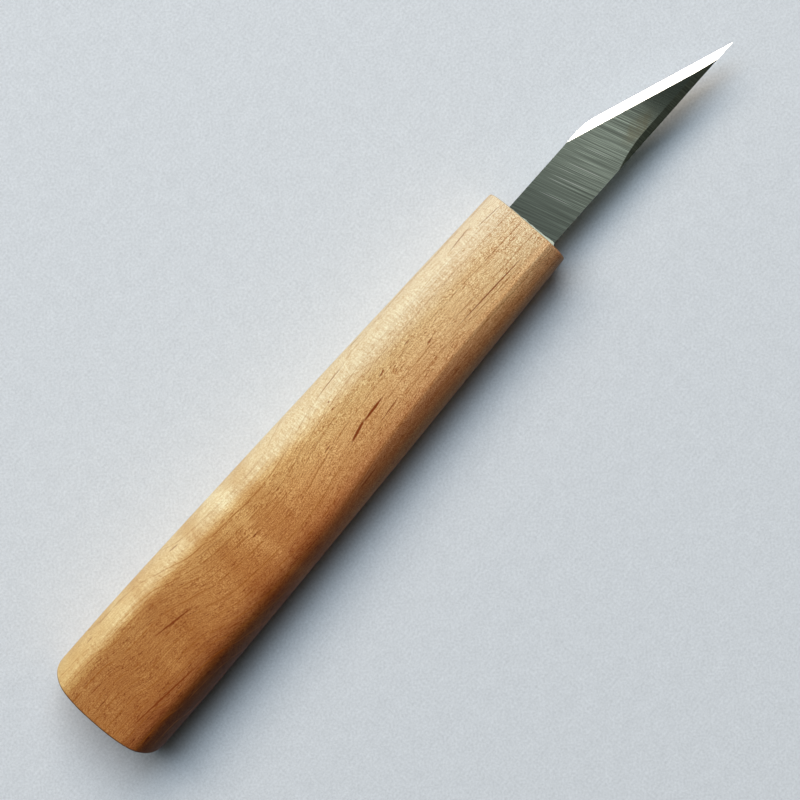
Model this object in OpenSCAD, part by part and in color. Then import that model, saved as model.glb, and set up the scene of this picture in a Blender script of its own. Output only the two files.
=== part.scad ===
// Peg shaving knife: a straight-backed skew blade bedded in a one-piece wooden handle.
// The knife lies on the flat underside of its handle. +X runs from the butt to the
// tip, the cutting edge faces +Y, the back of the blade faces -Y and +Z is up.
// The origin is on the underside, below the middle of the knife's length. Millimetres.

/* [Handle] */
// Length of the handle, from the butt to the mouth that the blade leaves
handle_length = 141; // [120:1:170]
// Width of the grip at the butt
butt_width = 28.7; // [25:0.1:36]
// Width at the mouth
mouth_width = 21.3; // [19:0.1:25]
// Thickness at the butt, from the flat underside to the flat upper face
butt_thickness = 18; // [13:0.5:22]
// Thickness at the mouth
mouth_thickness = 16; // [13:0.5:22]
// Length at the butt over which the grip keeps its full width
grip_parallel = 18; // [8:1:40]
// How gently the taper sets in after that: 1 is a straight taper
taper_power = 1.2; // [1:0.1:2.2]
// How far the rounded sides stand out past the flats
side_bulge = 4; // [2.5:0.1:5.5]

/* [Handle edges] */
// Radius that softens the long edges at the butt
butt_softening = 3; // [1.5:0.1:4]
// Radius that softens the long edges in the middle of the grip
grip_softening = 5; // [2:0.1:6]
// Radius that softens the long edges at the mouth
mouth_softening = 1.2; // [0.6:0.1:3]
// Share of the handle, from the butt, at which the grip is softest
grip_share = 0.35; // [0.2:0.05:0.6]
// Depth of the rounding that the butt has in plan
butt_rounding = 5; // [2.5:0.1:8]
// Squareness of that rounding: 2 is an ellipse
butt_squareness = 2.5; // [2:0.1:4]
// Broken edge round the butt
butt_break = 0.5; // [0.2:0.05:0.8]
// Broken edge round the mouth
mouth_break = 0.5; // [0.1:0.05:0.8]

/* [Blade] */
// Length of the blade outside the handle, from the mouth to the tip
blade_length = 59; // [50:1:75]
// Width of the steel bar
blade_width = 12.4; // [10:0.1:15]
// Thickness of the steel bar
blade_thickness = 1.8; // [1.4:0.1:2.6]
// Distance of the bar's middle from the handle's middle at the mouth, towards the edge
blade_offset = -0.55; // [-2:0.05:1]
// Angle by which the bar is set out of line with the handle, towards its back
blade_skew = 0.55; // [0:0.05:2]
// Angle in plan between the cutting edge and the back
edge_angle = 19.9; // [18:0.1:30]
// Radius in plan of the heel, where the cutting edge starts
heel_radius = 16; // [8:1:45]
// Width of the ground bevel on each face
bevel_width = 1.95; // [1.6:0.05:3.5]
// Thickness left at the cutting edge
edge_land = 0.05; // [0.03:0.01:0.2]

/* [Relief ground along the back] */
// Length of the relief, from the tip to where the wheel runs out
relief_length = 37; // [30:0.2:45]
// Width of the relief on each face of the blade
relief_width = 1.5; // [0.8:0.1:3]
// Depth of the relief at the back, on each face
relief_depth = 0.12; // [0.06:0.01:0.4]
// Length over which the relief runs out towards the handle
run_out = 10; // [5:0.5:15]

/* [Tang and its bedding] */
// Length of the tang inside the handle
tang_length = 52; // [35:1:70]
// Width of the tang at its inner end
tang_end_width = 7; // [4:0.5:9]
// Thickness of the glue all round the bar
glue_gap = 0.3; // [0.15:0.05:0.6]
// Height of the squeezed-out glue beside the cutting edge
bead_low = 0.55; // [0.2:0.05:0.8]
// Height of the squeezed-out glue beside the back
bead_high = 1.1; // [0.5:0.05:1.4]
// How far the squeezed-out glue goes round the narrow sides of the bar
bead_wrap = 0.2; // [0.1:0.05:0.4]

/* [Hidden] */

// How far the tip of the skewed bar stands from the mouth, and the overall length
tip_reach = blade_length * cos(blade_skew) - blade_width / 2 * sin(blade_skew);
total_length = handle_length + tip_reach;

// The heel: the corner of edge and bar, and how far its rounding reaches each way
heel_corner = blade_length - blade_width / tan(edge_angle);
heel_reach = heel_radius * tan(edge_angle / 2);

// The relief plane: its tilt, the height of the bar's corner above it, and the radius of the
// wheel that runs out of the steel over the length that is asked for
relief_tilt = atan(relief_depth / relief_width);
relief_bite = relief_width * sin(relief_tilt);
wheel_radius = (pow(run_out, 2) + pow(relief_bite, 2)) / (2 * relief_bite);

// The slot in the wood that takes the tang and the glue
slot_width = blade_width + 2 * glue_gap;
slot_thickness = blade_thickness + 2 * glue_gap;
slot_depth = tang_length + glue_gap;

// Fineness of the handle's surface: steps round each part of a section, and along it
side_steps = 8;
soft_steps = 5;
flat_steps = 8;
stations = 36;
heel_steps = 10;

// Room that the cutting tools have beyond the steel and the wood
over = 1;
cutter = blade_length + tang_length;

function mix(a, b, t) = a + (b - a) * t;
function ease(t) = t * t * (3 - 2 * t);

// Half the width of the handle at a distance from the butt
function half_width(x) =
    let (t = max(0, (x - grip_parallel) / (handle_length - grip_parallel)))
    (butt_width - (butt_width - mouth_width) * pow(t, taper_power)) / 2;

// Half the thickness of the handle at a distance from the butt
function half_thickness(x) = mix(butt_thickness, mouth_thickness, x / handle_length) / 2;

// Radius that softens the long edges at a distance from the butt
function softening(x) =
    let (t = x / handle_length)
    t < grip_share
        ? mix(butt_softening, grip_softening, ease(t / grip_share))
        : mix(grip_softening, mouth_softening, ease((t - grip_share) / (1 - grip_share)));

// One quarter of a section, as [y, z] from the side at mid height up to the edge of the flat.
// The side is an arc that stands out by side_bulge, blended into the flat by a smaller arc.
// inset moves the whole outline inwards.
function quarter(x, inset) =
    let (
        a = half_width(x) - inset,
        b = half_thickness(x) - inset,
        side = (pow(half_thickness(x), 2) + pow(side_bulge, 2)) / (2 * side_bulge) - inset,
        soft = max(softening(x) - inset, mouth_break),
        centre = a - side,
        rise = b - soft,
        flat = centre + sqrt(pow(side - soft, 2) - pow(rise, 2)),
        turn = atan2(rise, flat - centre)
    )
    concat(
        [for (i = [0 : side_steps])
            [centre + side * cos(turn * i / side_steps), side * sin(turn * i / side_steps)]],
        [for (i = [1 : soft_steps])
            let (at = mix(turn, 90, i / soft_steps)) [flat + soft * cos(at), rise + soft * sin(at)]]
    );

// The upper half of a section, from the edge side over the top to the back side
function upper(x, inset) =
    let (q = quarter(x, inset), n = len(q) - 1)
    concat(
        q,
        [for (i = [1 : flat_steps - 1]) [q[n].x * (1 - 2 * i / flat_steps), q[n].y]],
        [for (i = [n : -1 : 0]) [-q[i].x, q[i].y]]
    );

// A whole section, with the lower half as the mirror of the upper one
function section(x, inset) =
    let (u = upper(x, inset), n = len(u) - 1)
    concat(u, [for (i = [n - 1 : -1 : 1]) [u[i].x, -u[i].y]]);

// How far the rounded butt stands back at a distance from the handle's middle
function butt_set_back(y) =
    let (t = min(1, abs(y) * 2 / butt_width))
    butt_rounding * (1 - pow(1 - pow(t, butt_squareness), 1 / butt_squareness));

// A point of a section brought to a place along the handle, with the underside at z = 0
function lifted(p, from, x) = [x, p.x, half_thickness(x) * (1 + p.y / half_thickness(from))];

// A ring of 3D points on a section that stands square to the handle
function square_ring(x, inset) = [for (p = section(x, inset)) lifted(p, x, x)];

// A ring that follows the rounded butt, set back by a distance
function butt_ring(back, inset) =
    [for (p = section(butt_rounding, inset)) lifted(p, butt_rounding, butt_set_back(p.x) + back)];

// The wooden body before the slot is cut, from the butt at x = 0
module handle_body() {
    first = butt_rounding + 2 * butt_break;
    last = handle_length - mouth_break;
    rings = concat(
        [butt_ring(0, butt_break), butt_ring(butt_break, 0)],
        [for (i = [0 : stations]) square_ring(mix(first, last, i / stations), 0)],
        [square_ring(handle_length, mouth_break)]
    );
    n = len(rings[0]);
    half = n / 2;
    top_end = (len(rings) - 1) * n;
    walls = [for (r = [0 : len(rings) - 2], i = [0 : n - 1])
        [r * n + i, (r + 1) * n + i, (r + 1) * n + (i + 1) % n, r * n + (i + 1) % n]];
    butt_face = [for (i = [0 : half - 1])
        i == 0 ? [0, 1, n - 1]
        : i == half - 1 ? [i, i + 1, n - i]
        : [i, i + 1, n - i - 1, n - i]];
    mouth_face = [for (i = [n - 1 : -1 : 0]) top_end + i];
    polyhedron([for (r = rings) each r], concat(walls, butt_face, [mouth_face]), convexity = 4);
}

// Moves what is drawn from the butt to its place in the knife's frame
module from_butt() {
    translate([-total_length / 2, 0, 0]) children();
}

// Moves what is drawn from the mouth, on the bar's middle, to its place in the knife's frame
module from_mouth() {
    from_butt() translate([handle_length, blade_offset, mouth_thickness / 2]) children();
}

// The same, in line with the bar
module along_bar() {
    from_mouth() rotate([0, 0, -blade_skew]) children();
}

// The slot in the mouth of the handle, with ends as round as its cutter, drawn out of the mouth
module slot() {
    rotate([0, -90, 0]) translate([0, 0, -over]) linear_extrude(slot_depth + over)
        slot_outline();
}

module slot_outline() {
    reach = (slot_width - slot_thickness) / 2;
    square([slot_thickness, 2 * reach], center = true);
    for (side = [-1, 1]) translate([0, side * reach]) circle(d = slot_thickness, $fn = 32);
}

// The steel bar in plan: tang, rounded heel, cutting edge, tip and straight back
module bar_outline() {
    edge = blade_width / 2;
    heel = [for (i = [0 : heel_steps])
        let (at = 90 - edge_angle * i / heel_steps)
        [heel_corner - heel_reach + heel_radius * cos(at), edge - heel_radius * (1 - sin(at))]];
    polygon(concat(
        [[-tang_length, -tang_end_width / 2], [-tang_length, tang_end_width / 2], [0, edge]],
        heel,
        [[blade_length, -edge], [0, -edge]]
    ));
}

// What the grinder takes off the upper face along the cutting edge
module bevel_cut() {
    half = blade_thickness / 2;
    translate([blade_length, -blade_width / 2, 0])
        rotate([0, 0, 180 - edge_angle]) translate([-cutter, 0, 0]) rotate([90, 0, 90])
            linear_extrude(2 * cutter) polygon([
                [-cutter, edge_land / 2], [0, edge_land / 2], [bevel_width, half],
                [bevel_width + over, half + over * half / bevel_width], [-cutter, half + over]
            ]);
}

// What the wheel takes off the upper face along the back, with its round run-out
module relief_cut() {
    start = blade_length - relief_length + run_out;
    translate([0, relief_width - blade_width / 2, blade_thickness / 2])
        rotate([relief_tilt + 90, 0, 0]) translate([start, 0, -over]) linear_extrude(cutter) {
            square([cutter, 2 * over]);
            intersection() {
                translate([0, wheel_radius]) circle(wheel_radius, $fn = 720);
                translate([-run_out - over, 0]) square([run_out + 2 * over, 2 * over]);
            }
        }
}

module bar() {
    half = blade_thickness / 2;
    difference() {
        translate([0, 0, -half]) linear_extrude(blade_thickness) bar_outline();
        for (face = [0, 1]) mirror([0, 0, face]) {
            bevel_cut();
            relief_cut();
        }
    }
}

module handle() {
    color("burlywood") difference() {
        from_butt() handle_body();
        along_bar() slot();
    }
}

module blade() {
    color("slategray") along_bar() bar();
}

// Glue squeezed out at the mouth: a fillet as high on the steel as it is wide on the wood,
// growing from the cutting edge's side to the back
module bead() {
    half = blade_thickness / 2;
    reach = blade_width / 2 + bead_wrap;
    ends = [[reach, bead_low], [-reach, bead_high]];
    points = [for (e = ends) each
        [[0, e[0], -half - e[1]], [e[1], e[0], -half], [e[1], e[0], half], [0, e[0], half + e[1]]]];
    polyhedron(points, [
        [0, 1, 2, 3], [7, 6, 5, 4], [0, 3, 7, 4], [1, 5, 6, 2], [2, 6, 7, 3], [0, 4, 5, 1]
    ]);
}

// Room in front of the mouth, which trims the glue flush with the wood
module in_front() {
    translate([0, -slot_width, -slot_width]) cube([2 * over, 2 * slot_width, 2 * slot_width]);
}

// The glue that fills the slot round the tang, flush with the mouth, and its bead outside
module glue_bed() {
    color("gainsboro") difference() {
        union() {
            difference() {
                along_bar() slot();
                from_mouth() in_front();
            }
            from_mouth() bead();
        }
        along_bar() bar();
    }
}

handle();
blade();
glue_bed();
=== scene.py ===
# %% [markdown]
# # A peg shaving knife
#
# This lesson dresses a imported solid model of a small hand knife: a skew blade glued into a tapered wooden
# handle. The solids give the true sizes and places. Here every surface gets the shape of a finished piece
# and a material made only of nodes. The first step loads the solids.

# %% Load the frame
import math

import bmesh
import bpy
from mathutils import Matrix, Vector, noise


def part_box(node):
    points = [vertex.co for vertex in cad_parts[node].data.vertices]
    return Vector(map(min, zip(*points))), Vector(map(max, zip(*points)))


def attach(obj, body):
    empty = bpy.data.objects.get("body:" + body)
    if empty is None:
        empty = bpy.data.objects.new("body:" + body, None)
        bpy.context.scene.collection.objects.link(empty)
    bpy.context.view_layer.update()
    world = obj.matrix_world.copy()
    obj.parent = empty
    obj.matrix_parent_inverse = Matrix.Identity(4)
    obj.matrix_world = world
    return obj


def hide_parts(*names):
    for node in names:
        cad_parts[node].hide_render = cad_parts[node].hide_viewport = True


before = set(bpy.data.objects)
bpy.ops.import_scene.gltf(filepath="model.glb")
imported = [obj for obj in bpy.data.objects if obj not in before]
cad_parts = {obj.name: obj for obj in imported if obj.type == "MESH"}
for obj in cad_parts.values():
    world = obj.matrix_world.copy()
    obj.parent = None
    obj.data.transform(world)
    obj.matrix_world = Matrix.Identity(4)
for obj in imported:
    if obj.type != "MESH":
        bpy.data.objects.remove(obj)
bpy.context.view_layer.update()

MM = 0.001
scene = bpy.context.scene
scene.view_settings.view_transform = "Standard"

# %% [markdown]
# The sizes that the solids can tell us come from their boxes: how long, wide and thick each piece
# is and where it lies. The knife lies along X with its tip towards +X, its cutting edge towards
# +Y and its flat faces up and down.

# %% Sizes read from the solids
handle_low, handle_high = (Vector(corner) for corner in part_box("handle"))
blade_low, blade_high = (Vector(corner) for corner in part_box("blade"))

butt_x, mouth_x, tip_x = handle_low.x, handle_high.x, blade_high.x
handle_length = mouth_x - butt_x
butt_width = handle_high.y - handle_low.y
butt_thickness = handle_high.z - handle_low.z
mid_height = (handle_high.z + handle_low.z) / 2
blade_thickness = blade_high.z - blade_low.z
blade_level = (blade_high.z + blade_low.z) / 2
print(f"handle {handle_length / MM:.1f} mm, blade {(tip_x - mouth_x) / MM:.1f} mm out of the wood")

# %% [markdown]
# The photograph looks almost straight down, with the knife lying across the picture from the lower
# left to the upper right. The camera hangs above the middle of the knife and is turned about its
# own line of sight by the same angle. A long lens from well above keeps the two sides of the
# handle alike. The lens is worked out from how many pixels of the 800-pixel picture the knife's
# length fills.

# %% Camera
PICTURE_PIXELS = 800
KNIFE_PIXELS = 928
CAMERA_HEIGHT = 0.66
CAMERA_PLACE = (-5.36 * MM, -3.9 * MM)
LEAN_IN_PICTURE = math.radians(48.93)
SENSOR = 36.0

camera_data = bpy.data.cameras.new("camera")
camera = bpy.data.objects.new("camera", camera_data)
scene.collection.objects.link(camera)
camera.location = (*CAMERA_PLACE, CAMERA_HEIGHT)
camera.rotation_euler = (0, 0, -LEAN_IN_PICTURE)
pixels_per_metre = KNIFE_PIXELS / (tip_x - butt_x)
camera_data.sensor_width = SENSOR
camera_data.lens = SENSOR * pixels_per_metre * (CAMERA_HEIGHT - mid_height) / PICTURE_PIXELS
scene.camera = camera
print(f"lens {camera_data.lens:.0f} mm at {CAMERA_HEIGHT} m")

# %% [markdown]
# The main light is one large soft window, high on the cutting edge's side. It makes that side of
# the handle bright, throws a short soft shadow on the other side and shows as white in the ground
# bevel. Its upper half looks at the sky and is cooler than the lower half, which is why the outer
# half of a shadow looks blue. Two area lamps, one above the other, give all of this.

# %% Window
WINDOW_AZIMUTH = math.radians(66)
WINDOW_DISTANCE = 2.6
PANE_SIZE = (2.9, 1.0)
PANES = (  # height in degrees, power, colour
    (65, 43.0, (0.76, 0.93, 1.08)),
    (46, 51.0, (1.06, 0.97, 0.85)),
)

for height, power, tint in PANES:
    pane_data = bpy.data.lights.new("window_pane", "AREA")
    pane_data.shape = "RECTANGLE"
    pane_data.size, pane_data.size_y = PANE_SIZE
    pane_data.energy, pane_data.color = power, tint
    pane = bpy.data.objects.new("window_pane", pane_data)
    scene.collection.objects.link(pane)
    level = math.cos(math.radians(height))
    towards = Vector((math.cos(WINDOW_AZIMUTH) * level, math.sin(WINDOW_AZIMUTH) * level,
                      math.sin(math.radians(height))))
    pane.location = towards * WINDOW_DISTANCE
    pane.rotation_euler = towards.to_track_quat("Z", "Y").to_euler()
    print("pane at", [round(c, 2) for c in pane.location])


# %% [markdown]
# Every material below is a small graph of nodes. This helper adds one node at a time and returns
# its output, so a graph can be written as a few lines of sums. A socket given as an input is
# linked; anything else is set on the node itself.

# %% A helper for node graphs
class Nodes:
    """Adds nodes to one node tree and joins them."""

    def __init__(self, tree):
        self.tree = tree

    def add(self, kind, inputs=None, output=0, **settings):
        node = self.tree.nodes.new(kind)
        for name, value in settings.items():
            setattr(node, name, value)
        for name, value in (inputs or {}).items():
            if isinstance(value, bpy.types.NodeSocket):
                self.tree.links.new(value, node.inputs[name])
            else:
                node.inputs[name].default_value = value
        return node.outputs[output]

    def math(self, operation, a, b=0.0, c=0.0):
        return self.add("ShaderNodeMath", {0: a, 1: b, 2: c}, operation=operation)

    def vector(self, operation, a, b):
        return self.add("ShaderNodeVectorMath", {0: a, 1: b}, operation=operation)

    def split(self, vector):
        return self.add("ShaderNodeSeparateXYZ", {0: vector}).node.outputs

    def mix(self, factor, a, b, blend="MIX"):
        inputs = {0: factor, 6: a, 7: b}
        return self.add("ShaderNodeMix", inputs, 2, data_type="RGBA", blend_type=blend)

    def noise(self, place, stretch, detail=2.0, roughness=0.5):
        """Cloudy noise from 0 to 1, with a number of cells per millimetre along each axis."""
        inputs = {"Vector": self.vector("MULTIPLY", place, stretch), "Scale": 1.0,
                  "Detail": detail, "Roughness": roughness}
        return self.add("ShaderNodeTexNoise", inputs)

    def between(self, value, low, high, to_low=0.0, to_high=1.0, kind="SMOOTHSTEP"):
        """Takes a value from one range to another, softly at both ends unless it's LINEAR."""
        inputs = {"Value": value, 1: low, 2: high, 3: to_low, 4: to_high}
        return self.add("ShaderNodeMapRange", inputs, interpolation_type=kind)

    def rgb(self, red, green, blue):
        return self.add("ShaderNodeCombineColor", {0: red, 1: green, 2: blue})

    def grey(self, value):
        return self.rgb(value, value, value)

    def browned(self, value):
        """A tone that turns browner as it gets darker: blue goes first and red last."""
        return self.rgb(*(self.math("POWER", value, power) for power in (0.75, 1.35, 1.85)))

    def ramp(self, factor, stops):
        """A colour from pairs of (place between 0 and 1, colour)."""
        node = self.add("ShaderNodeValToRGB", {"Fac": factor}).node
        ramp = node.color_ramp
        while len(ramp.elements) < len(stops):
            ramp.elements.new(1.0)
        for element, (place, colour) in zip(ramp.elements, stops):
            element.position = place
            element.color = (*colour, 1.0)
        return node.outputs[0]

    def curve(self, value, points, handles="AUTO"):
        """A curve through points whose two numbers both lie between 0 and 1."""
        node = self.add("ShaderNodeFloatCurve", {"Value": value}).node
        line = node.mapping.curves[0]
        while len(line.points) < len(points):
            line.points.new(0.5, 0.5)
        for point, place in zip(line.points, points):
            point.location = place
            point.handle_type = handles
        node.mapping.update()
        return node.outputs[0]


def new_material(name):
    """A material with an empty graph, its helper and its surface shader."""
    material = bpy.data.materials.new(name)
    material.use_nodes = True
    shader = material.node_tree.nodes["Principled BSDF"]
    return material, Nodes(material.node_tree), shader


def place_in_mm(nodes, start=(0.0, 0.0, 0.0)):
    """The place on the piece in millimetres, counted from a start in the knife's own frame."""
    place = nodes.add("ShaderNodeTexCoord", output=3)
    inputs = {0: place, 1: (1000.0, 1000.0, 1000.0), 2: tuple(-c / MM for c in start)}
    return nodes.add("ShaderNodeVectorMath", inputs, operation="MULTIPLY_ADD")


print("node helper ready")

# %% [markdown]
# The room fills the shadows and is what the polished steel shows. Looking up from the bench, the
# ceiling is dim, grows lighter towards the tip and ends at a dark beam. Straight overhead it is
# lighter still. Away from the window comes a shaded strip and then a dark side. The world's graph
# tells these parts apart by the direction in which each lies.

# %% Room
CEILING_DIM = (0.11, 0.117, 0.113)
CEILING_LIGHT = (0.25, 0.257, 0.242)
DARK_BEAM = (0.037, 0.041, 0.037)
SHADED_STRIP = (0.047, 0.052, 0.042)
DARK_SIDE = (0.014, 0.016, 0.018)
OVERHEAD_GAIN = 1.7
LIGHTER_ALONG, BEAM_ALONG = (0.07, 0.108), (0.1217, 0.1272)
OVERHEAD_UP = (0.965, 0.975)
STRIP_ACROSS, DARK_ACROSS = (-0.1, -0.03), (-0.4, -0.28)

world = bpy.data.worlds.new("room")
world.use_nodes = True
scene.world = world
room = Nodes(world.node_tree)
along, across, up = room.split(room.add("ShaderNodeTexCoord", output=0))
ceiling = room.mix(room.between(along, *LIGHTER_ALONG), (*CEILING_DIM, 1), (*CEILING_LIGHT, 1))
ceiling = room.mix(room.between(along, *BEAM_ALONG), ceiling, (*DARK_BEAM, 1))
overhead = room.between(up, *OVERHEAD_UP, 1.0, OVERHEAD_GAIN)
ceiling = room.mix(1.0, ceiling, room.grey(overhead), "MULTIPLY")
ceiling = room.mix(room.between(across, *STRIP_ACROSS), (*SHADED_STRIP, 1), ceiling)
ceiling = room.mix(room.between(across, *DARK_ACROSS), (*DARK_SIDE, 1), ceiling)
world.node_tree.links.new(ceiling, world.node_tree.nodes["Background"].inputs["Color"])
print("room from", DARK_SIDE, "to", CEILING_LIGHT)

# %% [markdown]
# The knife lies on a large sheet of cool white paper on a grey bench. Paper isn't perfectly even: a
# faint mottling in its tone and a fine tooth in its surface keep it from looking like a painted
# wall. The bench begins where the paper ends, and is what the rounded sides reflect from afar.

# %% Paper floor
FLOOR_SIZE = 6.0
PAPER = (0.675, 0.685, 0.71)
BENCH = (0.12, 0.115, 0.11)
SHEET_HALF = 450.0
MOTTLE, TOOTH = (0.97, 1.02), (0.83, 1.17)

floor_mesh = bpy.data.meshes.new("paper_floor")
half = FLOOR_SIZE / 2
corners = [(-half, -half, 0), (half, -half, 0), (half, half, 0), (-half, half, 0)]
floor_mesh.from_pydata(corners, [], [(0, 1, 2, 3)])
floor = bpy.data.objects.new("paper_floor", floor_mesh)
scene.collection.objects.link(floor)

paper, nodes, shader = new_material("paper")
place = place_in_mm(nodes)
mottle = nodes.between(nodes.noise(place, (0.3, 0.3, 0.3), 3.0, 0.6), 0.3, 0.7, *MOTTLE, "LINEAR")
tooth = nodes.noise(place, (1.8, 1.8, 1.8), 3.0, 0.7)
tone = nodes.math("MULTIPLY", mottle, nodes.between(tooth, 0.2, 0.8, *TOOTH, "LINEAR"))
x, y, _ = nodes.split(place)
off_centre = nodes.math("MAXIMUM", nodes.math("ABSOLUTE", x), nodes.math("ABSOLUTE", y))
on_bench = nodes.math("GREATER_THAN", off_centre, SHEET_HALF)
colour = nodes.mix(1.0, nodes.mix(on_bench, (*PAPER, 1), (*BENCH, 1)), nodes.grey(tone), "MULTIPLY")
paper.node_tree.links.new(colour, shader.inputs["Base Color"])
bump = nodes.add("ShaderNodeBump", {"Height": tooth, "Strength": 0.15, "Distance": 0.0002})
paper.node_tree.links.new(bump, shader.inputs["Normal"])
shader.inputs["Roughness"].default_value = 0.85
shader.inputs["Specular IOR Level"].default_value = 0.25
floor_mesh.materials.append(paper)
print("floor", FLOOR_SIZE, "m wide")

# %% [markdown]
# The handle is shaped from one board: flat above and below, rounded at the sides and tapered in
# plan. It could be a box with bevels, but the softness of its long edges changes on the way from
# the butt to the mouth, and the edge that the thumb rubs is softer than the other. So it is lofted:
# one section is worked out at each station along the handle, and neighbouring sections are joined
# by faces. A quarter of a section is a side arc, blended by a smaller arc into the flat. How far the
# side stands out and how soft its edge is are given as courses along the handle: softest where the
# thumb lies, crisper and further in on the back towards the mouth, and plain underneath. The upper
# face isn't quite flat: it falls a little towards its edges, as a face planed by hand does.

# %% Sections of the handle
MOUTH_WIDTH = 21.3 * MM
GRIP_PARALLEL = 18 * MM
TAPER_POWER = 1.2
MOUTH_THICKNESS = 16 * MM
EVEN_BULGE = ((0.0, 4.0), (1.0, 4.0))
BACK_BULGE = ((0.0, 4.0), (0.45, 4.1), (0.65, 5.2), (0.80, 5.45), (0.92, 5.0), (1.0, 4.6))
THUMB_SOFT = ((0.0, 3.5), (0.12, 5.2), (0.35, 6.4), (0.62, 7.6), (0.9, 7.2), (1.0, 5.0))
BACK_SOFT = ((0.0, 3.0), (0.35, 5.0), (0.6, 2.6), (0.75, 1.6), (1.0, 1.0))
UNDER_SOFT = ((0.0, 3.0), (0.35, 5.0), (1.0, 1.2))
THUMB_SIDE = (THUMB_SOFT, EVEN_BULGE)
BACK_SIDE = (BACK_SOFT, BACK_BULGE)
UNDER_SIDE = (UNDER_SOFT, EVEN_BULGE)
CROWN = 0.9 * MM
SIDE_STEPS, SOFT_STEPS, FLAT_STEPS = 14, 12, 14


def mix(a, b, t):
    return a + (b - a) * t


def ease(t):
    return t * t * (3 - 2 * t)


def half_width(x):
    """Half the width of the handle at a distance from the butt."""
    t = max(0.0, (x - GRIP_PARALLEL) / (handle_length - GRIP_PARALLEL))
    return (butt_width - (butt_width - MOUTH_WIDTH) * t ** TAPER_POWER) / 2


def half_thick(x):
    """Half the thickness of the handle at a distance from the butt."""
    return mix(butt_thickness, MOUTH_THICKNESS, x / handle_length) / 2


def along_course(x, course):
    """A size that changes along the handle, from pairs of (share of the length, size in mm)."""
    t = min(1.0, x / handle_length)
    for (start, first), (stop, last) in zip(course, course[1:]):
        if t <= stop:
            return mix(first, last, ease((t - start) / (stop - start))) * MM


def quarter(x, inset, kind):
    """Points (y, z) from the side at mid height up to the edge of the flat."""
    tall = half_thick(x)
    soft, bulge = (along_course(x, course) for course in kind)
    side = (tall ** 2 + bulge ** 2) / (2 * bulge) - inset
    soft = max(soft - inset, 0.1 * MM)
    centre = half_width(x) - inset - side
    rise = tall - inset - soft
    flat = centre + math.sqrt((side - soft) ** 2 - rise ** 2)
    turn = math.atan2(rise, flat - centre)
    points = []
    for i in range(SIDE_STEPS + 1):
        at = turn * i / SIDE_STEPS
        points.append((centre + side * math.cos(at), side * math.sin(at)))
    for i in range(1, SOFT_STEPS + 1):
        at = mix(turn, math.pi / 2, i / SOFT_STEPS)
        points.append((flat + soft * math.cos(at), rise + soft * math.sin(at)))
    return points


def crowned(point, x):
    """A point of the upper half, let down towards the sides."""
    y, z = point
    high = max(0.0, z / half_thick(x))
    return (y, z - CROWN * (y / half_width(x)) ** 2 * high ** 2)


def half_section(x, inset, kinds):
    """Half an outline, from the edge side over the flat to the back."""
    left, right = (quarter(x, inset, kind) for kind in kinds)
    right = [(-y, z) for y, z in reversed(right)]
    (first, top), (last, _) = left[-1], right[0]
    across = [(mix(first, last, i / FLAT_STEPS), top) for i in range(1, FLAT_STEPS)]
    return left + across + right


def section(x, inset):
    """A whole outline, from the edge side over the top, round the back and under."""
    upper = [crowned(point, x) for point in half_section(x, inset, (THUMB_SIDE, BACK_SIDE))]
    lower = [(y, -z) for y, z in reversed(half_section(x, inset, (UNDER_SIDE, UNDER_SIDE))[1:-1])]
    return upper + lower


print(len(section(0.05, 0)), "points round each section")

# %% [markdown]
# The butt is bowed in plan with well rounded corners, like a squarish ellipse, and cut straight
# down. Its rings therefore don't lie in a plane: each point stands back by what the rounding takes
# off at its place across the handle. A small broken edge runs round both ends, made of a few rings
# that step round a quarter circle. Sanding by hand leaves long, faint hollows in the sides, so each
# point there is drawn in by a few hundredths of a millimetre, and never out, which keeps the handle
# inside its box.

# %% Rings along the handle
BUTT_ROUNDING = 5 * MM
BUTT_SQUARENESS = 2.5
BUTT_BREAK = 0.5 * MM
MOUTH_BREAK = 0.5 * MM
STATIONS = 90
BREAK_STEPS = 4
HAND_SANDING = 0.06 * MM
SANDING_LENGTH = 16 * MM


def butt_set_back(y):
    """How far the rounded butt stands back at a place across the handle."""
    t = min(1.0, abs(y) * 2 / butt_width)
    return BUTT_ROUNDING * (1 - (1 - t ** BUTT_SQUARENESS) ** (1 / BUTT_SQUARENESS))


def broken_edge(size):
    """Pairs of (inset, step along the handle) round a quarter circle, from the end face out."""
    turns = [math.pi / 2 * i / BREAK_STEPS for i in range(BREAK_STEPS + 1)]
    return [(size * (1 - math.sin(turn)), size * (1 - math.cos(turn))) for turn in turns]


def lifted(point, start, x):
    """A point of the section at start, brought to x, with the underside on the paper."""
    y, z = point
    return (x, y, half_thick(x) * (1 + z / half_thick(start)))


def handle_rings():
    """All rings, from the broken edge of the butt to that of the mouth."""
    rings = []
    for inset, step in broken_edge(BUTT_BREAK):
        outline = section(BUTT_ROUNDING, inset)
        rings.append([lifted(p, BUTT_ROUNDING, butt_set_back(p[0]) + step) for p in outline])
    first = BUTT_ROUNDING + 2 * BUTT_BREAK
    last = handle_length - MOUTH_BREAK
    for i in range(STATIONS):
        x = mix(first, last, i / STATIONS)
        rings.append([lifted(p, x, x) for p in section(x, 0)])
    for inset, step in reversed(broken_edge(MOUTH_BREAK)):
        outline = section(handle_length, inset)
        rings.append([lifted(p, handle_length, handle_length - step) for p in outline])
    return rings


def sanded(point):
    """A point of the side, drawn in a little where the abrasive dwelt; the flats stay true."""
    x, y, z = point
    steep = max(0.0, 1 - abs(z / half_thick(x) - 1)) ** 0.5
    hollow = 0.5 + 0.5 * noise.noise(Vector((x, y * 2, z * 2)) / SANDING_LENGTH)
    return (x, y - math.copysign(HAND_SANDING * hollow * steep, y), z)


print(len(handle_rings()), "rings")

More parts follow.
